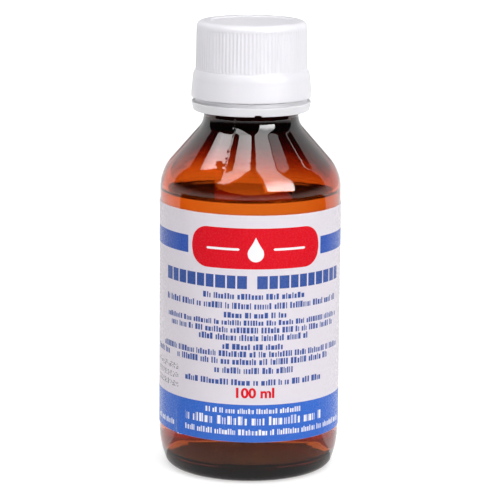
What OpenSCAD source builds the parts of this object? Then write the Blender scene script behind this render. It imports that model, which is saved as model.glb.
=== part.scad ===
// Round amber glass bottle holding 100 ml of solution, with a paper wrap label and a
// white ribbed screw cap. A tamper ring below the cap stays on the neck when the cap
// is unscrewed, and a foam liner inside the cap seals the mouth.
// Millimetres. +Z is up, the origin is the centre of the base, and the label faces -Y.

/* [Body] */
// Diameter of the glass body
body_d = 47; // [46:0.5:49]
// Height at which the straight wall ends and the shoulder starts
body_top_z = 73.75; // [72.5:0.25:76]
// Thickness of the glass wall
wall = 2; // [1.6:0.1:2.2]
// Thickness of the glass floor
base_t = 3.5; // [2.5:0.1:4]
// Depth of the hollow under the base
punt_h = 2; // [1.5:0.1:2.5]

/* [Shoulder and neck] */
// Radius of the curve where the wall turns into the shoulder
shoulder_r = 11.5; // [10:0.5:12.5]
// Slope of the shoulder, from upright
shoulder_a = 41.2; // [40:0.2:43]
// Diameter of the neck below the tamper ring
neck_d = 24.6; // [24.4:0.1:24.8]
// Diameter of the bore through the neck
bore_d = 18.4; // [17:0.2:19]
// Height of the neck above the shoulder
finish_h = 20.8; // [20.6:0.1:21.2]

/* [Thread] */
// Height that the cap rises in one turn
thread_pitch = 3.18; // [3:0.02:3.4]
// Radius of the neck between the threads
thread_root_r = 11.8; // [11.7:0.05:11.9]
// Height of a thread ridge
thread_h = 1.1; // [0.9:0.05:1.1]
// Turns of the thread on the neck
neck_turns = 2; // [1.5:0.25:2]
// Turns of the thread in the cap
cap_turns = 1.75; // [1.5:0.25:1.75]

/* [Cap] */
// Height of the cap without the tamper ring
cap_h = 19.6; // [19.4:0.1:19.8]
// Diameter of the cap's lower edge
skirt_d = 31.1; // [31:0.1:32]
// Diameter over the ribs at their lower ends
rib_low_d = 28.9; // [28.8:0.1:29.2]
// Diameter over the ribs at their upper ends
rib_high_d = 28.5; // [28.3:0.1:28.6]
// Number of grip ribs
rib_count = 90; // [60:1:100]
// Depth of the grooves between the ribs
rib_depth = 0.2; // [0.16:0.02:0.3]
// Thickness of the cap's top
cap_top_t = 1.4; // [1.2:0.1:1.6]
// Height of the rim round the cap's top
cap_rim_h = 0.3; // [0.2:0.05:0.5]

/* [Tamper ring] */
// Height of the tamper ring's outer face
ring_h = 2.3; // [2.1:0.1:2.5]
// Height of the groove between the tamper ring and the cap
ring_gap = 1.15; // [1:0.05:1.2]
// Height of the slit at the groove's inner wall, which the bridges cross
slit_h = 0.25; // [0.2:0.05:0.4]
// Number of bridges across the slit
bridge_count = 16; // [8:1:20]
// Number of notches in the ring's lower edge
notch_count = 4; // [2:1:8]

/* [Liner] */
// Thickness of the foam core
liner_core_t = 1.5; // [1.2:0.1:1.5]
// Thickness of each facing film
liner_film_t = 0.15; // [0.1:0.05:0.2]

/* [Label] */
// Height of the label's lower edge
label_z = 11.4; // [10:0.1:13]
// Height of the label
label_h = 59; // [50:0.5:59]
// Thickness of the label paper
label_t = 0.1; // [0.08:0.01:0.15]
// Angle of the strip of glass that the label leaves open at the back
label_gap_a = 55; // [30:1:80]
// Angle from the back to the middle of the open strip, positive towards -X
label_gap_turn_a = -2.5; // [-10:0.5:10]

/* [Solution] */
// Height of the liquid's surface
fill_z = 72.7; // [60:0.1:78]

/* [Hidden] */
$fn = 96;

amber = "#8a3a0c";
pale_liquid = "#d9a066";
paper_white = "#eeeef2";
cap_white = "#f2f1f4";
foam_white = "#e6e6e2";

// Body
body_r = body_d / 2;
inner_r = body_r - wall;
heel_side_r = 20;       // long curve where the wall leans in towards the base
heel_side_z = 9.5;
heel_r = 3.1;           // tight curve at the foot of the bottle
heel_x = body_r - heel_side_r
    + sqrt(pow(heel_side_r - heel_r, 2) - pow(heel_side_z - heel_r, 2));
heel_join_a = asin((heel_side_z - heel_r) / (heel_side_r - heel_r));
bearing_w = 1.7;        // width of the flat ring that the bottle stands on
floor_r = 2.5;          // curve round the inside of the floor

// Shoulder and neck, where the shoulder's cone runs tangent to both of its curves
neck_r = neck_d / 2;
neck_fillet_r = 5.3;
shoulder_rise = 1 - cos(shoulder_a);
cone_low = [body_r - shoulder_r * shoulder_rise, body_top_z + shoulder_r * sin(shoulder_a)];
neck_z = cone_low.y
    + (cone_low.x - neck_r - neck_fillet_r * shoulder_rise) / tan(shoulder_a)
    + neck_fillet_r * sin(shoulder_a);
mouth_z = neck_z + finish_h;
bore_r = bore_d / 2;
throat_r = 6;           // curve from the shoulder's inside into the bore
inner_cone_low = [
    body_r - shoulder_r + (shoulder_r - wall) * cos(shoulder_a),
    body_top_z + (shoulder_r - wall) * sin(shoulder_a)
];
throat_z = inner_cone_low.y
    + (inner_cone_low.x - bore_r - throat_r * shoulder_rise) / tan(shoulder_a)
    + throat_r * sin(shoulder_a);
lip_r = 0.8;            // rounding of the mouth

// Locking bead under the thread, which keeps the tamper ring on
bead_r = 13.2;
bead_z = neck_z + 2.8;
bead_flank = 0.5;
bead_h = 0.9;
bead_slope = 1.1;

// Threads: the cap's ridge lies half a pitch below the neck's
thread_crest_r = thread_root_r + thread_h;
thread_gap = 0.3;
thread_sink = 0.4;      // how deep a ridge's foot reaches into its wall
thread_foot_w = 2;
thread_crest_w = 0.9;
thread_steps = 48;      // sections in one turn
thread_fade = 8;        // sections over which a ridge's end rises
neck_thread_z = mouth_z - 9.3;
cap_thread_z = neck_thread_z - thread_pitch / 2;

// Cap
cap_top_z = mouth_z + 2 * liner_film_t + liner_core_t + cap_top_t + cap_rim_h;
cap_z = cap_top_z - cap_h;
panel_z = cap_top_z - cap_rim_h;
ceiling_z = panel_z - cap_top_t;
cap_in_r = thread_crest_r + thread_gap;
skirt_r = skirt_d / 2;
skirt_in_r = 13.7;
collar_r = 15.2;        // where the skirt's straight taper ends
collar_z = cap_z + 4.8;
collar_round_r = 4;
collar_round_a = 35;
seat_r = 12.8;          // wall round the liner
rib_low_r = rib_low_d / 2;
rib_high_r = rib_high_d / 2;
rib_low_z = cap_z + 7.4;
rib_high_z = cap_z + 17.9;
cap_round_r = 1.6;
rim_w = 2.2;
edge_r = 0.25;          // small rounding of the cap's and ring's moulded edges

// Tamper ring
ring_z = cap_z - ring_gap - ring_h;
ring_top_z = cap_z - ring_gap;
ring_r = 15.45;
ring_foot_r = 15.05;
ring_in_r = 13.7;
web_r = 14.45;          // inner wall of the groove
web_z = cap_z - slit_h;
lock_r = 12.7;          // inner lip that catches under the bead
lock_h = 1.4;
lock_slope = 0.3;
notch_w = 1.8;
notch_h = 0.4;
notch_a = 7;            // turn of the first notch from the front
bridge_w = 1.2;
bridge_in_r = 13.8;
bridge_out_r = 14.4;

liner_r = 12.5;

// Points along an arc about c, from angle a0 to angle a1
function arc(c, r, a0, a1, n = 8) = [
    for (i = [0:n])
        let (a = a0 + (a1 - a0) * i / n)
        c + r * [cos(a), sin(a)]
];

// Radius of the dome that rises by h over a half width of b
function dome_r(b, h) = (b * b + h * h) / (2 * h);

// Half outline of a dome from its centre, at height top, out to the half width b
function dome(b, h, top) = arc([0, top - dome_r(b, h)], dome_r(b, h), 90, 90 - asin(b / dome_r(b, h)), 6);

function reversed(points) = [for (i = [len(points) - 1:-1:0]) points[i]];

// Inside of the glass, from the middle of the floor up to the shoulder's cone
cavity_low = concat(
    dome(inner_r - floor_r, punt_h, base_t + punt_h),
    arc([inner_r - floor_r, base_t + floor_r], floor_r, -90, 0)
);

// Inside of the glass above the straight wall, up to the bore
cavity_high = concat(
    arc([body_r - shoulder_r, body_top_z], shoulder_r - wall, 0, shoulder_a, 10),
    arc([bore_r + throat_r, throat_z], throat_r, 180 + shoulder_a, 180)
);

// Outside of the glass, from the middle of the base up to the mouth
glass_outside = concat(
    dome(heel_x - bearing_w, punt_h, punt_h),
    arc([heel_x, heel_r], heel_r, -90, -heel_join_a),
    arc([body_r - heel_side_r, heel_side_z], heel_side_r, -heel_join_a, 0, 6),
    arc([body_r - shoulder_r, body_top_z], shoulder_r, 0, shoulder_a, 10),
    arc([neck_r + neck_fillet_r, neck_z], neck_fillet_r, 180 + shoulder_a, 180),
    [
        [neck_r, bead_z],
        [bead_r, bead_z + bead_flank],
        [bead_r, bead_z + bead_flank + bead_h],
        [thread_root_r, bead_z + bead_flank + bead_h + bead_slope]
    ],
    arc([thread_root_r - lip_r, mouth_z - lip_r], lip_r, 0, 90, 4),
    arc([bore_r + lip_r, mouth_z - lip_r], lip_r, 90, 180, 4)
);

// A ridge that winds up a round wall and sinks into the wall at both ends. The crest
// lies outside the wall on the neck, and inside it in the cap.
module thread(wall_r, crest_r, start_z, turns) {
    steps = round(turns * thread_steps);
    out = sign(crest_r - wall_r);
    foot_r = wall_r - out * thread_sink;
    end_r = wall_r - out * thread_sink / 2;
    points = [
        for (i = [0:steps])
            let (
                a = 360 * i / thread_steps,
                z = start_z + thread_pitch * i / thread_steps,
                grow = min(1, min(i, steps - i) / thread_fade),
                tip_r = end_r + (crest_r - end_r) * grow
            )
            for (p = [
                [foot_r, -thread_foot_w / 2],
                [tip_r, -thread_crest_w / 2],
                [tip_r, thread_crest_w / 2],
                [foot_r, thread_foot_w / 2]
            ])
                [p.x * cos(a), p.x * sin(a), z + p.y]
    ];
    sides = [
        for (i = [0:steps - 1])
            for (k = [0:3])
                let (
                    a = 4 * i + k,
                    b = 4 * i + (k + 1) % 4
                )
                each [[a, b, b + 4], [a, b + 4, a + 4]]
    ];
    ends = [[3, 2, 1, 0], [4 * steps, 4 * steps + 1, 4 * steps + 2, 4 * steps + 3]];
    faces = concat(sides, ends);
    polyhedron(points, out > 0 ? faces : [for (f = faces) reversed(f)]);
}

// Amber glass: hollow body with a pushed-up base, sloping shoulder, and a threaded neck
module bottle() {
    color(amber)
        union() {
            rotate_extrude()
                polygon(concat(glass_outside, reversed(cavity_high), reversed(cavity_low)));
            thread(thread_root_r, thread_crest_r, neck_thread_z, neck_turns);
        }
}

// The liquid, which fills the glass up to its surface
module solution() {
    color(pale_liquid)
        rotate_extrude()
            polygon(concat(cavity_low, [[inner_r, fill_z], [0, fill_z]]));
}

// Paper wrapped round the body, with an open strip between its ends at the back
module label() {
    color(paper_white)
        rotate([0, 0, 90 + label_gap_turn_a + label_gap_a / 2])
            rotate_extrude(angle = 360 - label_gap_a)
                translate([body_r, label_z])
                    square([label_t, label_h]);
}

// Wall and top of the cap, with a band that is turned down to the bottom of the grooves
module cap_shell() {
    rotate_extrude()
        polygon(concat(
            [
                [skirt_in_r, cap_z],
                [skirt_r - edge_r, cap_z],
                [skirt_r, cap_z + edge_r],
                [skirt_r, cap_z + 1]
            ],
            arc([collar_r - collar_round_r, collar_z], collar_round_r, 0, collar_round_a, 4),
            [
                [rib_low_r, rib_low_z - 0.2],
                [rib_low_r - rib_depth, rib_low_z + rib_depth],
                [rib_high_r - rib_depth, rib_high_z - rib_depth],
                [rib_high_r, rib_high_z]
            ],
            arc([rib_high_r - cap_round_r, cap_top_z - cap_round_r], cap_round_r, 0, 90, 6),
            [
                [rib_high_r - cap_round_r - rim_w, cap_top_z],
                [rib_high_r - cap_round_r - rim_w - cap_rim_h, panel_z],
                [0, panel_z],
                [0, ceiling_z],
                [seat_r, ceiling_z],
                [seat_r, ceiling_z - 2.6],
                [cap_in_r, ceiling_z - 3.1],
                [cap_in_r, cap_z + 2.8],
                [skirt_in_r, cap_z + 2]
            ]
        ));
}

// Fine upright ribs between the grooves, following the cap's taper
module ribs() {
    pitch_a = 360 / rib_count;
    foot_a = pitch_a * 0.36;
    tip_a = pitch_a * 0.2;
    foot_r = rib_high_r - 2 * rib_depth;
    tip_r = rib_low_r + rib_depth;
    outline = [
        for (i = [0:rib_count - 1])
            for (p = [[foot_r, -foot_a], [tip_r, -tip_a], [tip_r, tip_a], [foot_r, foot_a]])
                p.x * [cos(i * pitch_a + p.y), sin(i * pitch_a + p.y)]
    ];
    intersection() {
        translate([0, 0, rib_low_z - 0.2])
            linear_extrude(rib_high_z - rib_low_z + 0.2)
                difference() {
                    polygon(outline);
                    circle(r = cap_in_r + 0.2);
                }
        rotate_extrude()
            polygon([
                [cap_in_r, rib_low_z - 0.2],
                [rib_low_r, rib_low_z - 0.2],
                [rib_high_r, rib_high_z],
                [cap_in_r, rib_high_z]
            ]);
    }
}

// White moulded screw cap
module cap() {
    color(cap_white)
        union() {
            cap_shell();
            ribs();
            thread(cap_in_r, thread_root_r + thread_gap, cap_thread_z, cap_turns);
        }
}

// Foam disc of the liner, pressed between the cap and the mouth
module liner_core() {
    color(foam_white)
        translate([0, 0, mouth_z + liner_film_t])
            cylinder(h = liner_core_t, r = liner_r);
}

// Smooth films on both faces of the foam
module liner_films() {
    color(foam_white)
        for (z = [mouth_z, mouth_z + liner_film_t + liner_core_t])
            translate([0, 0, z])
                cylinder(h = liner_film_t, r = liner_r);
}

// Band below the cap. Its inner lip catches under the bead on the neck, and its thin
// upper wall is the back of the groove.
module tamper_ring() {
    color(cap_white)
        difference() {
            rotate_extrude()
                polygon([
                    [lock_r, ring_z + edge_r],
                    [lock_r + edge_r, ring_z],
                    [ring_foot_r - edge_r, ring_z],
                    [ring_foot_r, ring_z + edge_r],
                    [ring_r, ring_top_z - edge_r],
                    [ring_r - edge_r, ring_top_z],
                    [web_r, ring_top_z],
                    [web_r, web_z],
                    [ring_in_r, web_z],
                    [ring_in_r, ring_z + lock_h + lock_slope],
                    [lock_r, ring_z + lock_h - lock_slope]
                ]);
            for (i = [0:notch_count - 1])
                rotate([0, 0, notch_a - 90 + i * 360 / notch_count])
                    translate([lock_r - 1, -notch_w / 2, ring_z - 1])
                        cube([4, notch_w, notch_h + 1]);
        }
}

// Small links across the slit, which break when the cap is first turned
module tamper_bridges() {
    color(cap_white)
        for (i = [0:bridge_count - 1])
            rotate([0, 0, i * 360 / bridge_count])
                translate([bridge_in_r, -bridge_w / 2, web_z])
                    cube([bridge_out_r - bridge_in_r, bridge_w, slit_h]);
}

bottle();
solution();
label();
cap();
liner_core();
liner_films();
tamper_ring();
tamper_bridges();
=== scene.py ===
"""Amber glass solution bottle with a wrap label and a white screw cap, in a plain studio."""
import math
import random

import bpy
from mathutils import Matrix, Vector, noise


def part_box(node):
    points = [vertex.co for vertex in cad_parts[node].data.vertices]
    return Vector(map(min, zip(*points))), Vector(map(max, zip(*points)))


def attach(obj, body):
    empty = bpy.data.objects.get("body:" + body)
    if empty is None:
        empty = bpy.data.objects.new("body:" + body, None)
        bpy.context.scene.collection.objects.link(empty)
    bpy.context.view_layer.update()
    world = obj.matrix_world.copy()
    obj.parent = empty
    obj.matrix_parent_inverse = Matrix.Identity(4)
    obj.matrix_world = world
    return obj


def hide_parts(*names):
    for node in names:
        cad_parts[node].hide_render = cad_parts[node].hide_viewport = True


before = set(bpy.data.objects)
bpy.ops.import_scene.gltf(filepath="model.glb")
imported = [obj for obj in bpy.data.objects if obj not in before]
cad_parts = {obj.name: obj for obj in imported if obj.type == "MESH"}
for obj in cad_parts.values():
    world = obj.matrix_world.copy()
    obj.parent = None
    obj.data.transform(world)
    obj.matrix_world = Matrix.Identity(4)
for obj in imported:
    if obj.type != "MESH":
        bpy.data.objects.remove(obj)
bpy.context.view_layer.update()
MM = 0.001


def size_of(node):
    """Lowest and highest corner of a CAD node, in millimetres."""
    lo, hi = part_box(node)
    return Vector(lo) / MM, Vector(hi) / MM


GLASS_HI = size_of("bottle")[1]
LIQUID_HI = size_of("solution")[1]
LABEL_LO, LABEL_HI = size_of("label")
CAP_LO, CAP_HI = size_of("cap")
RING_LO, RING_HI = size_of("tamper_ring")

BODY_R = GLASS_HI.x
INNER_R = LIQUID_HI.x
MOUTH_Z = GLASS_HI.z
FILL_Z = LIQUID_HI.z
PAPER_R = LABEL_HI.x
LABEL_Z, LABEL_TOP = LABEL_LO.z, LABEL_HI.z
CAP_Z, CAP_TOP = CAP_LO.z, CAP_HI.z


# ---------------------------------------------------------------- mesh tools
def arc(cx, cz, r, a0, a1, n=8):
    """Points of an arc in the half section, angles in degrees."""
    return [
        (cx + r * math.cos(math.radians(a)), cz + r * math.sin(math.radians(a)))
        for a in (a0 + (a1 - a0) * i / n for i in range(n + 1))
    ]


def line(p, q, n):
    """Points from p to q, without p."""
    return [(p[0] + (q[0] - p[0]) * i / n, p[1] + (q[1] - p[1]) * i / n) for i in range(1, n + 1)]


def dome(b, h, top, n=8):
    """Points from the axis down a dome that falls by h from the height top to the radius b."""
    r = (b * b + h * h) / (2 * h)
    return arc(0, top - r, r, 90, 90 - math.degrees(math.asin(b / r)), n)


def smooth(x):
    """Rises smoothly from 0 at x = 0 to 1 at x = 1."""
    x = min(1.0, max(0.0, x))
    return x * x * (3 - 2 * x)


def make(name, verts, faces, sharp=40, smooth_shade=True):
    """A mesh object from points in millimetres."""
    mesh = bpy.data.meshes.new(name)
    mesh.from_pydata([(x * MM, y * MM, z * MM) for x, y, z in verts], [], faces)
    mesh.validate()
    mesh.update()
    if smooth_shade:
        mesh.polygons.foreach_set("use_smooth", [True] * len(mesh.polygons))
        mesh.set_sharp_from_angle(angle=math.radians(sharp))
    obj = bpy.data.objects.new(name, mesh)
    bpy.context.scene.collection.objects.link(obj)
    return obj


def turned(name, profile, columns, shape=None, loop=False, sharp=40):
    """A surface of revolution. columns is a count, or a list of angles. A point on the axis becomes
    one pole. shape(angle, i, r, z) moves a point of the half section to its own r and z at that
    angle, which is counted from +X."""
    angles = columns if isinstance(columns, list) else [2 * math.pi * j / columns for j in range(columns)]
    columns = len(angles)
    verts, rows = [], []
    for i, (r, z) in enumerate(profile):
        if abs(r) < 1e-9:
            rows.append([len(verts)] * columns)
            verts.append((0, 0, z))
            continue
        row = []
        for j in range(columns):
            a = angles[j]
            rr, zz = shape(a, i, r, z) if shape else (r, z)
            row.append(len(verts))
            verts.append((rr * math.cos(a), rr * math.sin(a), zz))
        rows.append(row)
    faces = []
    pairs = list(zip(rows, rows[1:] + rows[:1] if loop else rows[1:]))
    for low, high in pairs:
        for j in range(columns):
            k = (j + 1) % columns
            face = []
            for v in (low[j], low[k], high[k], high[j]):
                if v not in face:
                    face.append(v)
            if len(face) > 2:
                faces.append(tuple(face))
    return make(name, verts, faces, sharp)


# Half width of a thread ridge's crest, and the width of its flank
CREST, FLANK = 0.3, 0.8


def ridge(a, z, start, pitch, turns, fade):
    """Height, from 0 to 1, of a thread ridge at angle a and height z."""
    turn = a / (2 * math.pi)
    k = round((z - start) / pitch - turn)
    best = 0.0
    for u in (turn + k - 1, turn + k, turn + k + 1):
        if 0 <= u <= turns:
            off = abs(z - start - pitch * u)
            best = max(best, (1 - smooth((off - CREST) / FLANK)) * smooth(min(u, turns - u) / fade))
    return best


# ---------------------------------------------------------------- materials
class Nodes:
    """Small helper that builds a node tree."""

    def __init__(self, name):
        self.mat = bpy.data.materials.new(name)
        self.mat.use_nodes = True
        self.tree = self.mat.node_tree
        self.tree.nodes.clear()
        self.out = self.add("ShaderNodeOutputMaterial")
        self.coord = self.add("ShaderNodeTexCoord").outputs["Object"]

    def add(self, kind, **values):
        node = self.tree.nodes.new(kind)
        for key, value in values.items():
            if hasattr(node, key) and key not in node.inputs:
                setattr(node, key, value)
            else:
                self.feed(node.inputs[key], value)
        return node

    def feed(self, socket, value):
        """Links a node's output to the socket, or sets it to a plain value."""
        if isinstance(value, bpy.types.NodeSocket):
            self.tree.links.new(value, socket)
            return
        now = socket.default_value
        takes_alpha = hasattr(now, "__len__") and len(now) == 4
        socket.default_value = (*value, 1) if takes_alpha and len(value) == 3 else value

    def stretched(self, scale):
        m = self.add("ShaderNodeMapping", vector_type="POINT")
        self.feed(m.inputs["Vector"], self.coord)
        self.feed(m.inputs["Scale"], scale)
        return m.outputs[0]

    def distance(self, plan=False):
        """Distance from the origin, or from the Z axis where plan is set."""
        at = self.coord
        if plan:
            flat = self.add("ShaderNodeVectorMath", operation="MULTIPLY")
            self.feed(flat.inputs[0], self.coord)
            self.feed(flat.inputs[1], (1, 1, 0))
            at = flat.outputs["Vector"]
        m = self.add("ShaderNodeVectorMath", operation="LENGTH")
        self.feed(m.inputs[0], at)
        return m.outputs["Value"]

    def along(self, axis):
        """The coordinate along X, Y or Z, in metres."""
        m = self.add("ShaderNodeSeparateXYZ")
        self.feed(m.inputs[0], self.coord)
        return m.outputs[axis]

    def noise(self, scale, detail=3, rough=0.55, vector=None):
        n = self.add("ShaderNodeTexNoise")
        self.feed(n.inputs["Vector"], vector or self.coord)
        self.feed(n.inputs["Scale"], scale)
        self.feed(n.inputs["Detail"], detail)
        self.feed(n.inputs["Roughness"], rough)
        return n.outputs["Fac"]

    def span(self, value, lo, hi, a=0.3, b=0.7):
        """The value's range from a to b, spread over lo to hi."""
        m = self.add("ShaderNodeMapRange")
        for key, v in (("Value", value), ("From Min", a), ("From Max", b), ("To Min", lo), ("To Max", hi)):
            self.feed(m.inputs[key], v)
        return m.outputs[0]

    def mix(self, fac, one, two):
        m = self.add("ShaderNodeMix", data_type="RGBA")
        self.feed(m.inputs[0], fac)
        self.feed(m.inputs[6], one)
        self.feed(m.inputs[7], two)
        return m.outputs[2]

    def bump(self, height, depth, strength=1.0, normal=None):
        b = self.add("ShaderNodeBump")
        self.feed(b.inputs["Strength"], strength)
        self.feed(b.inputs["Distance"], depth)
        self.feed(b.inputs["Height"], height)
        if normal:
            self.feed(b.inputs["Normal"], normal)
        return b.outputs[0]

    def principled(self, **values):
        p = self.add("ShaderNodeBsdfPrincipled")
        for key, value in values.items():
            self.feed(p.inputs[key.replace("_", " ")], value)
        return p

    def done(self, surface, volume=None):
        self.tree.links.new(surface, self.out.inputs["Surface"])
        if volume:
            self.tree.links.new(volume, self.out.inputs["Volume"])
        return self.mat


# Radii and heights in metres between which the painted shade in the foot of the glass fades out
FOOT_SHADE_R, FOOT_SHADE_Z = (0.0190, 0.0204), (0.0042, 0.0055)


def amber_glass():
    """Amber glass, tinted through its depth and at its surface, where the surface colour is partly thicker
    glass and partly painted shade.
    """
    n = Nodes("amber_glass")
    smudge = n.noise(90, 4, 0.6)
    orange_peel = n.noise(150, 2)
    # The surface colour is darkest in the disc of the foot and from the upper shoulder to the neck, where
    # the dark colour reaches a little further down on the right. From the shoulder up it is partly the
    # thicker glass and partly painted shade, the dark that falls in the neck under the cap.
    at = n.add("ShaderNodeVectorMath", operation="DOT_PRODUCT")
    n.feed(at.inputs[0], n.coord)
    n.feed(at.inputs[1], (0.09, 0, 1))
    # the dark neck colour: partly thicker glass, partly painted shade under the cap
    thickness_and_shade = n.add("ShaderNodeValToRGB")
    n.feed(thickness_and_shade.inputs[0], n.span(at.outputs["Value"], 0, 1, 0.0, 0.1))
    ramp = thickness_and_shade.color_ramp
    stops = [
        (0.000, (1, 1, 1)), (0.745, (1, 1, 1)), (0.793, (0.85, 0.65, 0.42)),
        (0.828, (0.38, 0.15, 0.17)), (0.861, (0.13, 0.045, 0.06)), (0.895, (0.08, 0.035, 0.035)),
        (0.931, (0.09, 0.06, 0.06)),
    ]
    for k, (place, colour) in enumerate(stops):
        stop = ramp.elements[k] if k < 2 else ramp.elements.new(place)
        stop.position, stop.color = place, (*colour, 1)
    # painted shade: the near-black foot stands for the shadowed table under the bottle, seen through the
    # thicker base
    foot_shade = n.add("ShaderNodeMath", operation="MULTIPLY")
    n.feed(foot_shade.inputs[0], n.span(n.distance(plan=True), 1, 0, *FOOT_SHADE_R))
    n.feed(foot_shade.inputs[1], n.span(at.outputs["Value"], 1, 0, *FOOT_SHADE_Z))
    tint = n.mix(foot_shade.outputs[0], thickness_and_shade.outputs[0], (0.008, 0.012, 0.03))
    p = n.principled(
        Base_Color=tint, Transmission_Weight=1.0, IOR=1.52,
        Roughness=n.span(smudge, 0.0, 0.035, 0.45, 0.75),
        Normal=n.bump(orange_peel, 0.00002),
    )
    v = n.add("ShaderNodeVolumeAbsorption")
    v.inputs["Color"].default_value = (0.905, 0.55, 0.04, 1)
    v.inputs["Density"].default_value = 1160
    return n.done(p.outputs[0], v.outputs[0])


def clear_solution():
    """A clear liquid with a trace of blue."""
    n = Nodes("clear_solution")
    p = n.principled(
        Base_Color=(1, 1, 1), Transmission_Weight=1.0, IOR=1.34,
        Roughness=0.0, Normal=n.bump(n.noise(60, 2), 0.00001),
    )
    v = n.add("ShaderNodeVolumeAbsorption")
    v.inputs["Color"].default_value = (0.95, 0.97, 1.0, 1)
    v.inputs["Density"].default_value = 2
    return n.done(p.outputs[0], v.outputs[0])


def paper(name, through, colour):
    """Coated label paper, of which the share called through lets light pass."""
    n = Nodes(name)
    fibre = n.noise(1500, 3, 0.6)
    cloud = n.noise(60, 3)
    shade = n.mix(n.span(cloud, 0, 1), colour, tuple(c * 0.97 for c in colour))
    p = n.principled(
        Base_Color=shade, Roughness=n.span(fibre, 0.22, 0.32), Specular_IOR_Level=0.15,
        Normal=n.bump(fibre, 0.00002, 0.5),
    )
    t = n.add("ShaderNodeBsdfTranslucent")
    n.feed(t.inputs["Color"], shade)
    m = n.add("ShaderNodeMixShader")
    m.inputs[0].default_value = through
    n.tree.links.new(p.outputs[0], m.inputs[1])
    n.tree.links.new(t.outputs[0], m.inputs[2])
    return n.done(m.outputs[0])


def ink(name, colour, strength=0.02):
    """Printing ink, uneven at the scale of the print's dots. strength is how much paper shows."""
    n = Nodes(name)
    screen = n.noise(2600, 2, 0.6)
    cloud = n.noise(45, 3)
    tint = n.mix(n.span(screen, 0, 1), colour, tuple(c + (1 - c) * strength for c in colour))
    tint = n.mix(n.span(cloud, 0, 0.5), tint, tuple(c * 0.85 for c in colour))
    p = n.principled(
        Base_Color=tint, Roughness=n.span(screen, 0.22, 0.32), Specular_IOR_Level=0.15,
    )
    return n.done(p.outputs[0])


def moulded(name, colour, roughness=(0.3, 0.42), grain=900, depth=0.00002, glow=0.15):
    """White moulded plastic with a fine satin grain and faint flow marks."""
    n = Nodes(name)
    fine = n.noise(grain, 3, 0.6)
    flow = n.noise(1, 3, vector=n.stretched((160, 160, 25)))
    tint = n.mix(n.span(flow, 0, 1), colour, tuple(c * 0.965 for c in colour))
    p = n.principled(
        Base_Color=tint, Roughness=n.span(fine, *roughness), IOR=1.49,
        Subsurface_Weight=glow, Subsurface_Radius=(1.0, 0.9, 0.8), Subsurface_Scale=0.0015,
        Normal=n.bump(fine, depth, 0.6),
    )
    return n.done(p.outputs[0])


def foam():
    """Closed foam with fine cells."""
    n = Nodes("liner_foam")
    cells = n.add("ShaderNodeTexVoronoi")
    n.feed(cells.inputs["Vector"], n.coord)
    n.feed(cells.inputs["Scale"], 2500)
    depth = cells.outputs["Distance"]
    tint = n.mix(n.span(depth, 0, 1, 0.1, 0.7), (0.88, 0.88, 0.86), (0.72, 0.72, 0.7))
    p = n.principled(
        Base_Color=tint, Roughness=n.span(depth, 0.7, 0.95, 0.1, 0.7), Normal=n.bump(depth, 0.0001),
    )
    return n.done(p.outputs[0])


# ---------------------------------------------------------------- glass
SHOULDER_R, SHOULDER_A = 11.5, 41.2
RISE = 1 - math.cos(math.radians(SHOULDER_A))
SHOULDER_Z = 73.75
NECK_R, NECK_FILLET = 12.3, 5.3
THREAD_ROOT, THREAD_H, PITCH = 11.8, 1.1, 3.18
THREAD_Z, THREAD_FADE = MOUTH_Z - 9.3, 0.17  # start of the thread, and the turns over which it rises
BORE_R, LIP_R, THROAT_R = 9.2, 0.8, 6.0
WALL = BODY_R - INNER_R
TAN = math.tan(math.radians(SHOULDER_A))
SIN = math.sin(math.radians(SHOULDER_A))
HEEL_SIDE_R, HEEL_SIDE_Z, HEEL_R = 20.0, 9.5, 3.1
HEEL_X = BODY_R - HEEL_SIDE_R + math.sqrt((HEEL_SIDE_R - HEEL_R) ** 2 - (HEEL_SIDE_Z - HEEL_R) ** 2)
HEEL_A = math.degrees(math.asin((HEEL_SIDE_Z - HEEL_R) / (HEEL_SIDE_R - HEEL_R)))
BEARING, PUNT, BASE_T, FLOOR_R = 1.7, 2.0, 3.5, 2.5
BEAD_R = 13.2
NECK_Z = MOUTH_Z - 20.8
BEAD_Z = NECK_Z + 2.8

outside = (
    dome(HEEL_X - BEARING, PUNT, PUNT, 10)
    + line((HEEL_X - BEARING, 0), (HEEL_X, 0), 2)
    + arc(HEEL_X, HEEL_R, HEEL_R, -90, -HEEL_A, 10)[1:]
    + arc(BODY_R - HEEL_SIDE_R, HEEL_SIDE_Z, HEEL_SIDE_R, -HEEL_A, 0, 12)[1:]
    + line((BODY_R, HEEL_SIDE_Z), (BODY_R, SHOULDER_Z), 30)
    + arc(BODY_R - SHOULDER_R, SHOULDER_Z, SHOULDER_R, 0, SHOULDER_A, 20)[1:]
)
cone_top = (NECK_R + NECK_FILLET * RISE, NECK_Z - NECK_FILLET * SIN)
outside += line(outside[-1], cone_top, 40)
outside += arc(NECK_R + NECK_FILLET, NECK_Z, NECK_FILLET, 180 + SHOULDER_A, 180, 14)[1:]
# the neck, and the bead that holds the tamper ring
outside += line(outside[-1], (NECK_R, BEAD_Z - 0.2), 3)
outside += arc(NECK_R + 0.2, BEAD_Z - 0.2, 0.2, 180, 120, 3)[1:]
outside += line(outside[-1], (BEAD_R - 0.15, BEAD_Z + 0.42), 2)
outside += arc(BEAD_R - 0.25, BEAD_Z + 0.65, 0.25, -60, 0, 3)
outside += line(outside[-1], (BEAD_R, BEAD_Z + 1.3), 2)
outside += arc(BEAD_R - 0.3, BEAD_Z + 1.3, 0.3, 0, 40, 3)[1:]
outside += line(outside[-1], (THREAD_ROOT + 0.1, BEAD_Z + 2.45), 3)
outside += line(outside[-1], (THREAD_ROOT, BEAD_Z + 2.7), 1)
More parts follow.
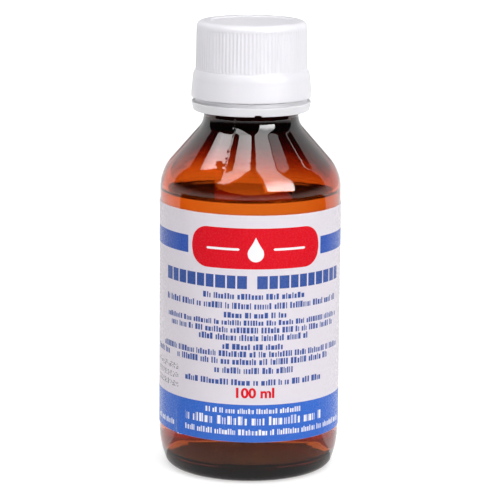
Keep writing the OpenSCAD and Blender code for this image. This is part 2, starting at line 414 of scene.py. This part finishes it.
# the threaded part, and the lip
THREAD_FROM = len(outside)
outside += line(outside[-1], (THREAD_ROOT, MOUTH_Z - LIP_R), 96)
THREAD_TO = len(outside) - 1
outside += arc(THREAD_ROOT - LIP_R, MOUTH_Z - LIP_R, LIP_R, 0, 90, 8)[1:]
mouth = arc(BORE_R + LIP_R, MOUTH_Z - LIP_R, LIP_R, 90, 180, 8)


def cavity_low(grow=0.0):
    """Inside of the glass up to the straight wall, moved into the glass by grow."""
    return dome(INNER_R - FLOOR_R, PUNT, BASE_T + PUNT - grow, 10) + arc(
        INNER_R - FLOOR_R, BASE_T + FLOOR_R, FLOOR_R + grow, -90, 0, 12
    )[1:]


cavity_high = arc(BODY_R - SHOULDER_R, SHOULDER_Z, SHOULDER_R - WALL, 0, SHOULDER_A, 20)
reach = cavity_high[-1][0] - BORE_R - THROAT_R * RISE
THROAT_Z = cavity_high[-1][1] + reach / TAN + THROAT_R * SIN
throat = arc(BORE_R + THROAT_R, THROAT_Z, THROAT_R, 180 + SHOULDER_A, 180, 14)
cavity_high += line(cavity_high[-1], throat[0], 12) + throat[1:]
low = cavity_low()
inside = low + line(low[-1], cavity_high[0], 40) + cavity_high[1:] + line(throat[-1], mouth[-1], 10)
INSIDE_FROM = len(outside) + len(mouth)
glass_profile = outside + mouth + inside[::-1][1:]


def wave(a, z):
    """How far the hand of the mould and the blowing leave the inner wall from true, in mm."""
    p = Vector((math.cos(a) * 2.1, math.sin(a) * 2.1, z / 13))
    fine = Vector((math.cos(a) * 5, math.sin(a) * 5, z / 6))
    return 0.10 * noise.noise(p) + 0.03 * noise.noise(fine)


SEAM = math.radians(-90 - 19)  # the joint of the two mould halves, and its opposite


def seam(a, z):
    """Height of the mould's joint line, a little uneven along its length."""
    off = (a - SEAM + math.pi / 2) % math.pi - math.pi / 2
    wobble = math.radians(1.2) * noise.noise(Vector((3, 0, z / 2.3)))
    crinkle = 0.6 + 1.2 * noise.noise(Vector((0, 5, z / 0.8)))
    above = 0.12 + 0.88 * smooth((z - 78.5) / 3)
    return 0.13 * above * crinkle * math.exp(-(((off + wobble) / math.radians(0.9)) ** 2))


ANGLES = sorted(
    {round(math.radians(d) % (2 * math.pi), 9) for d in range(0, 360, 2)}
    | {
        round((SEAM + side + math.radians(0.3 * k)) % (2 * math.pi), 9)
        for side in (0, math.pi) for k in range(-9, 10)
    }
)


def glass_shape(a, i, r, z):
    """Raises the thread and the seam, and makes the walls uneven."""
    if THREAD_FROM <= i < THREAD_TO:
        return r + THREAD_H * ridge(a, z, THREAD_Z, PITCH, 2, THREAD_FADE), z
    if i >= INSIDE_FROM:
        return r - wave(a, z) * smooth((r - BORE_R) / 4), z
    if HEEL_X < r and z > 5:
        r += 0.2 * wave(a + 2, z) * smooth((r - 13.5) / 4) * smooth((z - 5) / 6) - 0.006
    if i < THREAD_FROM and r > 12 and z > 1:
        r += seam(a, z) * smooth((z - 1) / 2)
    return r, z


glass = turned("bottle_glass", glass_profile, ANGLES, glass_shape)
glass.data.materials.append(amber_glass())
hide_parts("bottle")
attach(glass, "bottle")

# ---------------------------------------------------------------- liquid
SINK = 0.12  # the liquid reaches this far into the glass, so that the two share one boundary
WALL_STEPS = 40
CREEP_H, CREEP_W = 1.1, 0.9  # how far the liquid creeps up the wall, and how fast that dies away
low = cavity_low(SINK)
wall_top = FILL_Z + CREEP_H
liquid_profile = low + line(low[-1], (INNER_R + SINK, wall_top), WALL_STEPS)
liquid_profile += [
    (INNER_R + SINK - d, FILL_Z + CREEP_H * math.exp(-max(0, d - SINK) / CREEP_W) - 0.02)
    for d in (0.06, SINK, 0.25, 0.45, 0.7, 1.0, 1.4, 1.9, 2.6, 3.6, 5, 8, 12, 16)
] + [(0, FILL_Z)]


def liquid_shape(a, i, r, z):
    """Follows the uneven wall of the glass."""
    if i < len(low) + WALL_STEPS:
        return r - wave(a, z) * smooth((r - BORE_R) / 4), z
    return r - wave(a, z) * smooth((r - INNER_R + 3) / 3), z


liquid = turned("solution_liquid", liquid_profile, 192, liquid_shape)
liquid.data.materials.append(clear_solution())
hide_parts("solution")
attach(liquid, "bottle")

# ---------------------------------------------------------------- label
SKEW = 0.0073  # the label was stuck on slightly askew
SINK_PAPER = 0.05
# the label's ends, which leave a strip of glass open at the back
LEFT_END, RIGHT_END = -math.radians(155) * PAPER_R, math.radians(150) * PAPER_R
CURL = (-20.2, 2.1)  # middle and half width of the spot where the lower edge has come loose
CURL_Z, CURL_OFF = 1.6, 0.45  # how high the loose spot reaches, and how far it stands off
INK_T = 0.012


def wrap(s, z, r):
    """A point of the label: s millimetres round from the front, towards +X."""
    a = s / PAPER_R
    return (r * math.sin(a), -r * math.cos(a), z - SKEW * s)


def curl(s, z):
    """How far the loose spot of the lower edge stands off, from 0 to 1."""
    return smooth(1 - abs(s - CURL[0]) / CURL[1]) * smooth(1 - (z - LABEL_Z) / CURL_Z)


def label_sheet():
    """The paper, as a closed sheet with one material inside and one outside."""
    columns = 312
    heights = [LABEL_Z + d for d in (0, 0.3, 0.6, 0.9, 1.2, CURL_Z)]
    heights += [LABEL_Z + CURL_Z + (LABEL_TOP - LABEL_Z - CURL_Z) * i / 16 for i in range(1, 17)]
    verts, faces = [], []
    for c in range(columns + 1):
        s = LEFT_END + (RIGHT_END - LEFT_END) * c / columns
        for z in heights:
            verts.append(wrap(s, z, BODY_R - SINK_PAPER + CURL_OFF * curl(s, z)))
        for z in heights:
            verts.append(wrap(s, z, PAPER_R + CURL_OFF * curl(s, z)))
    n = len(heights)
    for c in range(columns):
        a, b = c * 2 * n, (c + 1) * 2 * n
        for k in range(n - 1):
            faces.append((b + k, a + k, a + k + 1, b + k + 1))
            faces.append((a + n + k, b + n + k, b + n + k + 1, a + n + k + 1))
        faces.append((a, b, b + n, a + n))
        faces.append((b + n - 1, a + n - 1, a + 2 * n - 1, b + 2 * n - 1))
    e = columns * 2 * n
    for k in range(n - 1):
        faces.append((k, n + k, n + k + 1, k + 1))
        faces.append((e + k + 1, e + n + k + 1, e + n + k, e + k))
    return make("label_paper", verts, faces, 60)


sheet = label_sheet()
sheet.data.materials.append(paper("label_face", 0.25, (0.92, 0.865, 0.94)))
sheet.data.materials.append(paper("label_back", 0.8, (0.88, 0.87, 0.86)))
for poly in sheet.data.polygons:
    c = poly.center
    if poly.normal.x * c.x + poly.normal.y * c.y < -0.5 * math.hypot(c.x, c.y):
        poly.material_index = 1
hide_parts("label")
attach(sheet, "bottle")

prints = {}


def strip(layer, s0, s1, low_z, high_z, lift=INK_T, step=0.9):
    """A thin printed shape on the label between s0 and s1. low_z and high_z are heights, or
    functions of s."""
    lo = low_z if callable(low_z) else lambda s: low_z
    hi = high_z if callable(high_z) else lambda s: high_z
    verts, faces = prints.setdefault(layer, ([], []))
    count = max(1, math.ceil((s1 - s0) / step))
    base = len(verts)
    for c in range(count + 1):
        s = s0 + (s1 - s0) * c / count
        for z in (lo(s), hi(s)):
            off = CURL_OFF * curl(s, z)
            verts.append(wrap(s, z, PAPER_R - INK_T + off))
            verts.append(wrap(s, z, PAPER_R + lift + off))
    for c in range(count):
        a, b = base + 4 * c, base + 4 * c + 4
        faces.append((a + 1, b + 1, b + 3, a + 3))
        faces.append((b, a, a + 2, b + 2))
        faces.append((a, b, b + 1, a + 1))
        faces.append((b + 2, a + 2, a + 3, b + 3))
    faces.append((base, base + 1, base + 3, base + 2))
    e = base + 4 * count
    faces.append((e + 2, e + 3, e + 1, e))


def pill(layer, s0, s1, z0, z1, r, lift=INK_T, step=0.35):
    """A strip with rounded ends of radius r."""
    def inset(s):
        d = min(s - s0, s1 - s)
        return 0 if d >= r else r - math.sqrt(max(0, r * r - (r - d) ** 2))
    strip(layer, s0, s1, lambda s: z0 + inset(s), lambda s: z1 - inset(s), lift, step)


rng = random.Random(7)
MID = 1.5  # the print's middle, a little right of the front


def words(layer, s0, s1, z0, z1, wide=0.47, gap=0.23, bold=1.0):
    """A row of small marks in word-like groups, with no letters in it."""
    h = z1 - z0
    s = s0
    while s < s1 - wide:
        letters = rng.randint(2, 9)
        for _ in range(letters):
            w = wide * bold * rng.choice((0.6, 0.85, 1.1, 1.5))
            top = z1 - h * rng.choice((0, 0.0, 0.0, 0.2, 0.22, 0.24))
            if s + w > s1:
                break
            strip(layer, s, s + w, z0, top)
            s += w + gap * rng.choice((0.9, 1.1, 1.35))
        s += h * 0.38


# lower blue band
strip("blue", LEFT_END + 0.02, RIGHT_END - 0.02, LABEL_Z + 0.02, 21.25)
# upper blue bands, which stop short of the badge
strip("navy", LEFT_END + 0.02, -17.2, 59.6, 64.1)
strip("navy", 20.4, RIGHT_END - 0.02, 59.35, 63.9)
# badge with a plain drop between two thin lines
pill("red", -15.9, 19.6, 56.6, 67.1, 4.7)


def drop(layer, s, z, r, lift):
    """A drop whose round part has radius r and its middle at s and z."""
    top = 2.1 * r
    def half(d):
        return math.sqrt(max(0, r * r - d * d))
    def high(x):
        d = abs(x - s)
        if d > r * 0.88:
            return z + half(d)
        return z + top - (top - half(r * 0.88)) * (d / (r * 0.88)) ** 0.8
    strip(layer, s - r, s + r, lambda x: z - half(abs(x - s)), high, lift, r / 14)


drop("white", MID, 60.55, 2.1, 0.02)
pill("white", -11.5, -2.6, 61.35, 61.95, 0.3, 0.02)
pill("white", 6.0, 15.0, 61.35, 61.95, 0.3, 0.02)

# headline, as two groups of plain blocks
for s0, s1 in ((-26.0, -0.2), (1.9, 29.5)):
    s = s0
    while s < s1 - 2:
        w = min(rng.choice((2.2, 2.5, 2.7)), s1 - s)
        strip("text", s, s + w, 51.5, 54.85)
        s += w + 0.45

# rows of small print: the two ends, the lower and upper edge, and how bold the marks are
ROWS = [
    (-12.4, 15.4, 48.75, 50.25, 1.2), (-26.0, 28.8, 46.25, 47.85, 1.0), (-6.6, 9.9, 43.9, 45.35, 1.25),
    (-25.5, 28.8, 42.0, 43.35, 1.0), (-23.8, 26.8, 40.0, 41.5, 1.0), (-13.6, 16.6, 38.0, 39.6, 1.0),
    (-6.9, 10.0, 35.65, 37.15, 1.25), (-27.6, 30.5, 33.75, 35.25, 1.0), (-32.5, -24.5, 31.75, 33.35, 1.0),
    (-21.2, 24.1, 31.75, 33.35, 1.0), (-9.1, 11.9, 29.4, 31.0, 1.0), (-18.1, 21.0, 26.35, 27.9, 1.3),
]
for s0, s1, z0, z1, bold in ROWS:
    words("text", s0, s1, z0, z1, bold=bold)
words("white", -11.5, 14.4, 18.9, 20.25)
words("white", -19.6, 22.2, 15.9, 18.15, wide=0.62, gap=0.38, bold=1.2)
words("white", -32.5, 32.5, 13.25, 14.75)


def dots(s0, s1, z0, z1):
    """A row of loose dots, as a dot printer leaves."""
    pitch = (z1 - z0) / 5
    for c in range(int((s1 - s0) / pitch)):
        if c % 5 == 4:
            continue
        for k in range(5):
            if rng.random() < 0.42:
                s, z = s0 + c * pitch, z0 + k * pitch
                strip("stamp", s, s + pitch * 0.72, z, z + pitch * 0.72)


for z in (28.25, 25.85, 23.55):
    dots(-32.5, -20.4, z, z + 1.5)

INKS = {
    "blue": ink("ink_blue", (0.035, 0.14, 0.58)),
    "navy": ink("ink_navy", (0.032, 0.095, 0.43)),
    "text": ink("ink_text", (0.04, 0.09, 0.33)),
    "red": ink("ink_red", (0.69, 0.003, 0.014), 0.002),
    "white": ink("ink_white", (0.86, 0.86, 0.9), 0.0),
    "stamp": ink("ink_stamp", (0.1, 0.1, 0.13)),
}
for layer, (verts, faces) in prints.items():
    obj = make("label_print_" + layer, verts, faces, smooth_shade=False)
    obj.data.materials.append(INKS[layer])
    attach(obj, "bottle")


# width, left end and foot of the printed volume, and how far it stands off the paper
MARK_W, MARK_S, MARK_Z, MARK_LIFT = 9.9, -3.3, 23.15, 0.013


def volume_mark():
    """The printed volume, as plain numerals wrapped round the label."""
    curve = bpy.data.curves.new("mark", "FONT")
    curve.body = "100 ml"
    curve.size = 3.55
    curve.extrude = 0.0
    curve.offset = 0.13
    curve.resolution_u = 4
    flat = bpy.data.objects.new("mark", curve)
    bpy.context.scene.collection.objects.link(flat)
    mesh = bpy.data.meshes.new_from_object(flat.evaluated_get(bpy.context.evaluated_depsgraph_get()))
    xs = [v.co.x for v in mesh.vertices]
    scale = MARK_W / (max(xs) - min(xs))
    verts, faces, n = [], [], len(mesh.vertices)
    for r in (PAPER_R - INK_T, PAPER_R + MARK_LIFT):
        for v in mesh.vertices:
            verts.append(wrap(MARK_S + (v.co.x - min(xs)) * scale, MARK_Z + v.co.y, r))
    edges = {}
    for poly in mesh.polygons:
        loop = list(poly.vertices)
        faces.append(tuple(v + n for v in loop))
        faces.append(tuple(reversed(loop)))
        for p, q in zip(loop, loop[1:] + loop[:1]):
            edges[(p, q)] = edges.get((p, q), 0) + 1
    for p, q in edges:
        if (q, p) not in edges:
            faces.append((p, q, q + n, p + n))
    bpy.data.objects.remove(flat)
    obj = make("label_volume", verts, faces, smooth_shade=False)
    obj.data.materials.append(INKS["red"])
    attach(obj, "bottle")


volume_mark()

# ---------------------------------------------------------------- cap
RIBS, PER_RIB = 90, 6
RIB_LOW_R, RIB_HIGH_R, RIB_D = 14.45, 14.25, 0.16
RIB_LOW_Z, RIB_HIGH_Z = CAP_Z + 7.4, CAP_Z + 17.9
SKIRT_R, SKIRT_IN, COLLAR_R = CAP_HI.x, 13.7, 15.2
COLLAR_Z = CAP_Z + 4.8
PANEL_Z = CAP_TOP - 0.3
CEILING_Z = PANEL_Z - 1.4
CAP_IN, SEAT_R = 13.2, 12.8
CAP_ROUND, RIM_W = 1.6, 2.2
EDGE_R = 0.25  # radius of the lower edge of the cap, and of the ring's edges

cap_out = (
    [(SKIRT_IN + 0.2, CAP_Z), (SKIRT_IN + 0.6, CAP_Z)]
    + arc(SKIRT_R - EDGE_R, CAP_Z + EDGE_R, EDGE_R, -90, 0, 5)
    + line((SKIRT_R, CAP_Z + EDGE_R), (SKIRT_R, CAP_Z + 1), 2)
    + line((SKIRT_R, CAP_Z + 1), (COLLAR_R, COLLAR_Z), 5)
    + arc(COLLAR_R - 4, COLLAR_Z, 4, 0, 35, 10)[1:]
    + [(RIB_LOW_R + 0.02, RIB_LOW_Z - 0.3)]
)
RIB_FROM = len(cap_out)
cap_out += [(RIB_LOW_R, RIB_LOW_Z - 0.2)]
cap_out += line(cap_out[-1], (RIB_LOW_R, RIB_LOW_Z + 0.4), 6)
cap_out += line(cap_out[-1], (RIB_HIGH_R, RIB_HIGH_Z - 0.5), 8)
cap_out += line(cap_out[-1], (RIB_HIGH_R, RIB_HIGH_Z), 4)
RIB_TO = len(cap_out)
cap_out += line(cap_out[-1], (RIB_HIGH_R, CAP_TOP - CAP_ROUND), 2)
cap_out += arc(RIB_HIGH_R - CAP_ROUND, CAP_TOP - CAP_ROUND, CAP_ROUND, 0, 90, 14)[1:]
rim_in = RIB_HIGH_R - CAP_ROUND - RIM_W
cap_out += line(cap_out[-1], (rim_in + 0.15, CAP_TOP), 3)
cap_out += [
    (rim_in, CAP_TOP - 0.04), (rim_in - 0.15, CAP_TOP - 0.15),
    (rim_in - 0.28, PANEL_Z + 0.03), (rim_in - 0.45, PANEL_Z),
]
cap_out += [(r, PANEL_Z) for r in (8.0, 4.0, 1.2, 0)]
cap_in = [(0, CEILING_Z), (6, CEILING_Z), (SEAT_R - 0.2, CEILING_Z), (SEAT_R, CEILING_Z - 0.2)]
cap_in += line(cap_in[-1], (SEAT_R, CEILING_Z - 2.6), 3) + [(CAP_IN, CEILING_Z - 3.1)]
INNER_FROM = len(cap_out) + len(cap_in)
cap_in += line(cap_in[-1], (CAP_IN, CAP_Z + 2.8), 72)
INNER_TO = len(cap_out) + len(cap_in)
cap_in += [(SKIRT_IN, CAP_Z + 2.0), (SKIRT_IN, CAP_Z + 0.2)]


def cap_shape(a, i, r, z):
    """Cuts the grooves between the ribs, and raises the thread inside."""
    if RIB_FROM <= i < RIB_TO:
        ends = smooth((z - RIB_LOW_Z + 0.2) / 0.55) * smooth((RIB_HIGH_Z - z) / 0.5)
        tooth = 0.5 + 0.5 * math.cos(a * RIBS)
        return r - RIB_D * (1 - tooth ** 0.8) * ends, z
    if INNER_FROM <= i < INNER_TO:
        return r - THREAD_H * ridge(a, z, THREAD_Z - PITCH / 2, PITCH, 1.75, THREAD_FADE), z
    return r, z


cap = turned("cap_shell", cap_out + cap_in, RIBS * PER_RIB, cap_shape, loop=True, sharp=50)
cap.data.materials.append(moulded("cap_plastic", (0.755, 0.745, 0.785)))
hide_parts("cap")
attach(cap, "cap")

# ---------------------------------------------------------------- tamper ring
RING_Z, RING_R, RING_FOOT = RING_LO.z, RING_HI.x, 15.05
RING_TOP, WEB_Z, WEB_R = RING_Z + 2.3, RING_HI.z, 14.45
LOCK_R = 12.7
NOTCH_TURN, NOTCH_W, NOTCH_H = 7, 1.6, 0.4  # the first notch's angle from the front, and its size
NOTCH_REACH = 0.9  # the ring's wall is pushed up over this height
ring_profile = (
    arc(LOCK_R + EDGE_R, RING_Z + EDGE_R, EDGE_R, 180, 270, 4)
    + line((LOCK_R + EDGE_R, RING_Z), (RING_FOOT - EDGE_R, RING_Z), 4)
    + arc(RING_FOOT - EDGE_R, RING_Z + EDGE_R, EDGE_R, -90, 0, 4)[1:]
    + line((RING_FOOT, RING_Z + EDGE_R), (RING_R, RING_TOP - EDGE_R), 8)
    + arc(RING_R - EDGE_R, RING_TOP - EDGE_R, EDGE_R, 0, 90, 5)[1:]
    + [(WEB_R + 0.12, RING_TOP), (WEB_R, RING_TOP + 0.12)]
    + line((WEB_R, RING_TOP + 0.12), (WEB_R, WEB_Z - 0.06), 2)
    + [(WEB_R - 0.06, WEB_Z), (SKIRT_IN + 0.06, WEB_Z), (SKIRT_IN, WEB_Z - 0.06)]
    + line((SKIRT_IN, WEB_Z - 0.06), (SKIRT_IN, RING_Z + 1.7), 3)
    + [(LOCK_R + 0.1, RING_Z + 1.2), (LOCK_R, RING_Z + 1.05)]
)


def ring_shape(a, i, r, z):
    """Presses the four notches into the ring's lower edge."""
    turn = (math.degrees(a) + 90 - NOTCH_TURN) % 90
    off = min(turn, 90 - turn) * math.radians(1) * 15  # millimetres round the edge
    cut = NOTCH_H * (1 - smooth((off - NOTCH_W / 2) / 0.2))
    if z < RING_Z + NOTCH_REACH:
        return r, max(z, RING_Z + cut + (z - RING_Z) * (1 - cut / NOTCH_REACH))
    return r, z


ring = turned("tamper_band", ring_profile, 720, ring_shape, loop=True, sharp=50)
ring.data.materials.append(moulded("ring_plastic", (0.73, 0.725, 0.75)))
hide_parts("tamper_ring")
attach(ring, "tamper_ring")

# ---------------------------------------------------------------- carried-over CAD nodes
def dress(node, material):
    """Gives a CAD node its material."""
    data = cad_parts[node].data
    data.materials.clear()
    data.materials.append(material)


dress("tamper_bridges", moulded("bridge_plastic", (0.76, 0.755, 0.78), grain=2000))
dress("liner_core", foam())
dress("liner_films", moulded("liner_film", (0.84, 0.84, 0.84), roughness=(0.15, 0.25), grain=300, glow=0.0))


# ---------------------------------------------------------------- studio
KEY, BACK, TOP = 3.15, 3.0, 3.7  # strengths of the three lights on the paper and the cap
SHOULDER_AT = 80  # the softboxes stand round this height of the bottle's axis


def light_table():
    """The floor, whose surface glows a little away from what stands on it."""
    n = Nodes("floor_white")
    shade = (0.5, 0.5, 0.503)
    tint = n.mix(n.span(n.noise(4, 2), 0, 1), shade, tuple(c * 0.985 for c in shade))
    far = n.distance()
    glow = n.add("ShaderNodeMath", operation="ADD")
    n.feed(glow.inputs[0], n.span(far, 0, 0.66, 0.010, 0.022))
    n.feed(glow.inputs[1], n.span(far, 0, 0.25, 0.45, 1.1))
    return n.done(n.principled(
        Base_Color=tint, Roughness=0.9, Specular_IOR_Level=0.2,
        Emission_Color=(1, 1, 1), Emission_Strength=glow.outputs[0],
    ).outputs[0])


def glowing(name, colour=(1, 1, 1), strength=1.0):
    """Light of one colour and strength, either of which may come from a node. name is a material's
    name, or the Nodes that the colour or strength belongs to."""
    n = name if isinstance(name, Nodes) else Nodes(name)
    return n.done(n.add("ShaderNodeEmission", Color=colour, Strength=strength).outputs[0])


def graded(name, stops, distance):
    """Light of a softbox whose strength changes with height. Stops are pairs of the upward part of
    the direction and the strength."""
    n = Nodes(name)
    most = 16  # the ramp holds shares of this strength
    ramp = n.add("ShaderNodeValToRGB")
    n.feed(ramp.inputs[0], n.span(n.along("Z"), 0, 1, SHOULDER_AT * MM, (SHOULDER_AT + distance) * MM))
    for k, (place, strength) in enumerate(stops):
        stop = ramp.color_ramp.elements[k] if k < 2 else ramp.color_ramp.elements.new(place)
        stop.position, stop.color = place, (strength / most, strength / most, strength / most, 1)
    return glowing(n, ramp.outputs[0], most)


def helper(obj, material, *rays):
    """Makes obj a part of the stage that only rays of the given kinds meet."""
    obj.data.materials.append(material)
    obj.visible_camera = obj.visible_shadow = False
    obj.visible_diffuse = "diffuse" in rays
    obj.visible_glossy = "glossy" in rays
    obj.visible_transmission = "transmission" in rays


def softbox(name, corners, strength, *rays, distance=900):
    """A softbox whose corners lie in the given directions from the bottle's shoulder. strength is
    one value, or a list of stops for graded()."""
    centre = Vector((0, 0, SHOULDER_AT))
    verts = [tuple(Vector(c).normalized() * distance + centre) for c in corners]
    obj = make(name, verts, [tuple(range(len(verts)))], smooth_shade=False)
    if isinstance(strength, list):
        light = graded(name + "_light", strength, distance)
    else:
        light = glowing(name + "_light", strength=strength)
    helper(obj, light, *rays)


def level_sheet(name, outline, z):
    """A level sheet with the given outline."""
    return make(name, [(x, y, z) for x, y in outline], [tuple(range(len(outline)))], smooth_shade=False)


floor = level_sheet("floor", ((-4000, -4000), (4000, -4000), (4000, 4000), (-4000, 4000)), -0.05)
floor.data.materials.append(light_table())

# four softboxes in front, which show in reflections and through the glass but light no paper
softbox("softbox_right", [
    (.085, -.29, .955), (.22, -.61, .76), (.35, -.89, .27), (.61, -.76, .25), (.84, -.51, .19),
    (.75, -.40, .53), (.54, -.35, .77), (.40, -.20, .90), (.36, -.16, .92), (.33, -.08, .94),
    (.09, -.2, .975),
], [(0.2, 16), (0.42, 15), (0.62, 4.8), (0.96, 5.2)], "glossy", "transmission")
softbox("softbox_right_high", [
    (.372, -.165, .915), (.53, -.25, .82), (.565, -.01, .825), (.45, .10, .89), (.36, -.08, .93),
], 2.1, "glossy", "transmission")
softbox("softbox_left", [
    (.02, -.22, .975), (.01, -.30, .95), (-.06, -.36, .93), (-.19, -.59, .79), (-.36, -.68, .64),
    (-.50, -.70, .51), (-.64, -.58, .50), (-.51, -.47, .72), (-.37, -.32, .87), (-.27, -.25, .93),
    (-.24, -.17, .955),
], [(0.5, 6), (0.75, 6), (0.92, 5.4), (0.965, 9.5)], "glossy", "transmission")
softbox("softbox_left_high", [
    (-.36, -.08, .93), (-.435, -.165, .885), (-.545, -.06, .835), (-.665, .015, .745),
    (-.70, .08, .71), (-.62, .20, .76),
], [(0.72, 4), (0.81, 8.5)], "glossy", "transmission")

# wide side lights, of which only the lowest part shows through the glass, so that the foot doesn't
# mirror them
SIDE, RIGHT_SIDE, LEFT_SIDE = 800, 1.0, 1.15  # distance, and the strengths of the two sides
softbox("side_right", [
    (.92, .34, -.1), (.79, .25, .56), (.62, .45, .62), (.30, .75, .6), (.35, .94, -.1),
], RIGHT_SIDE, "diffuse", "glossy", distance=SIDE)
softbox("side_right_edge", [
    (.65, .21, .73), (.69, .25, .685), (.85, .33, .44), (.81, .295, .50),
], 5.0, "glossy", "transmission", distance=SIDE)
softbox("side_left", [
    (-.90, .42, -.1), (-.75, .35, .62), (-.30, .72, .62), (-.35, .94, -.1),
], LEFT_SIDE, "diffuse", "glossy", distance=SIDE)
for name, strength, front, back in (
    ("side_right_low", RIGHT_SIDE, (.92, .34), (.35, .94)),
    ("side_left_low", LEFT_SIDE, (-.90, .42), (-.35, .94)),
):
    low_corners = [(*front, -.1), (*front, .15), (*back, .15), (*back, -.1)]
    softbox(name, low_corners, strength, "transmission", distance=SIDE)

# the key light, from the upper right in front
AZIMUTH, HEIGHT, SPREAD = math.radians(21), math.radians(36), 0.45
across = math.cos(HEIGHT)
aim = Vector((math.sin(AZIMUTH) * across, -math.cos(AZIMUTH) * across, math.sin(HEIGHT)))
side = aim.cross(Vector((0, 0, 1))).normalized()
top = side.cross(aim)
key_corners = [aim + SPREAD * (u * side + v * top) for u, v in ((-1, -1), (1, -1), (1, 1), (-1, 1))]
softbox("key", key_corners, KEY, "diffuse", distance=1200)
# lights the paper from behind
softbox("back_light", [
    (-.5, .85, .03), (.5, .85, .03), (.5, .85, .25), (-.5, .85, .25),
], BACK, "diffuse", distance=1500)
softbox("top_light", [
    (-.45, -.35, 1), (.45, -.35, 1), (.45, .45, 1), (-.45, .45, 1),
], TOP, "diffuse", distance=1000)


def cloth_light():
    """What little the dark cloth gives back, most of it close to the bottle."""
    n = Nodes("flag_cloth")
    return glowing(n, strength=n.span(n.distance(), 0.55, 0, 0.04, 0.12))


def painted_shadow_light():
    """Light of a painted shadow of the bottle on the table: dark brown, which turns redder away from the
    camera.
    """
    n = Nodes("card_painted_shadow")
    back = n.span(n.along("Y"), 0, 1, 0.008, 0.028)
    return glowing(n, n.mix(back, (0.05, 0.03, 0.03), (0.44, 0.075, 0.03)))


# a dark cloth on the table in front and at both sides, cut out round the foot, keeps the
# reflections of the table out of the upright glass
CUT_OUT = 20.5
cloth = [(-900, -900), (900, -900), (900, 130), (250, 130), (200, 0)]
cloth += [
    (CUT_OUT * math.cos(math.radians(d)), CUT_OUT * math.sin(math.radians(d)))
    for d in range(0, -181, -12)
]
cloth += [(-200, 0), (-250, 60), (-900, 60)]
helper(level_sheet("flag", cloth, 0.5), cloth_light(), "glossy")

# a white card that throws light through the heel from behind
white = level_sheet("white_card", ((-45, 6), (45, 6), (45, 29), (-45, 29)), -0.03)
helper(white, glowing("card_white", strength=1.5), "transmission")

# a brown card under and right behind the bottle, which only shows through the glass: a painted shadow of
# the bottle on the table
SHADOW_CARD = [(8, -24), (8, 18), (20, 20), (17, 22.5), (12, 25), (8.5, 27.5), (7, 29), (17, 30), (17, 44)]
card = level_sheet("card", SHADOW_CARD + [(-x, y) for x, y in reversed(SHADOW_CARD)], -0.02)
helper(card, painted_shadow_light(), "transmission")

world = bpy.data.worlds.new("studio")
bpy.context.scene.world = world
world.use_nodes = True
nodes, links = world.node_tree.nodes, world.node_tree.links
background = nodes.get("Background") or nodes.new("ShaderNodeBackground")
background.inputs["Color"].default_value = (1, 1, 1, 1)
# The room is pale for diffuse light and for the camera, and dim in reflections and through glass.
path = nodes.new("ShaderNodeLightPath")
lit = nodes.new("ShaderNodeMath")
lit.operation = "MAXIMUM"
links.new(path.outputs["Diffuse Depth"], lit.inputs[0])
links.new(path.outputs["Is Camera Ray"], lit.inputs[1])
level = nodes.new("ShaderNodeMapRange")
level.inputs["To Max"].default_value = 0.12
links.new(lit.outputs[0], level.inputs["Value"])
# what glass and gloss show of the room: a pale sweep at floor height that darkens upwards
where = nodes.new("ShaderNodeTexCoord")
height = nodes.new("ShaderNodeSeparateXYZ")
links.new(where.outputs["Generated"], height.inputs[0])
fade = nodes.new("ShaderNodeMapRange")
fade.interpolation_type = "SMOOTHSTEP"
for socket, value in (("From Min", -0.04), ("From Max", 0.17), ("To Min", 0.9), ("To Max", 0.02)):
    fade.inputs[socket].default_value = value
links.new(height.outputs["Z"], fade.inputs["Value"])
links.new(fade.outputs[0], level.inputs["To Min"])
links.new(level.outputs[0], background.inputs["Strength"])

scene = bpy.context.scene
scene.view_settings.view_transform = "Standard"
scene.view_settings.look = "None"
scene.cycles.max_bounces = 20
scene.cycles.transmission_bounces = 16
scene.cycles.glossy_bounces = 8

# ---------------------------------------------------------------- camera
PITCH_DOWN, ROLL = 0.196179, 0.008332  # radians
CAMERA_AT = (0, -0.7067888, 0.1973907)
forward = Vector((0, math.cos(PITCH_DOWN), -math.sin(PITCH_DOWN)))
right = Vector((1, 0, 0))
up = right.cross(forward)
cam_x = math.cos(ROLL) * right + math.sin(ROLL) * up
cam_y = -math.sin(ROLL) * right + math.cos(ROLL) * up
camera_data = bpy.data.cameras.new("camera")
camera_data.sensor_width = 36
camera_data.lens = 198.71
camera_data.clip_start, camera_data.clip_end = 0.05, 30
camera = bpy.data.objects.new("camera", camera_data)
scene.collection.objects.link(camera)
turn = Matrix((cam_x, cam_y, -forward)).transposed().to_4x4()
camera.matrix_world = Matrix.Translation(CAMERA_AT) @ turn
scene.camera = camera

bpy.context.view_layer.update()
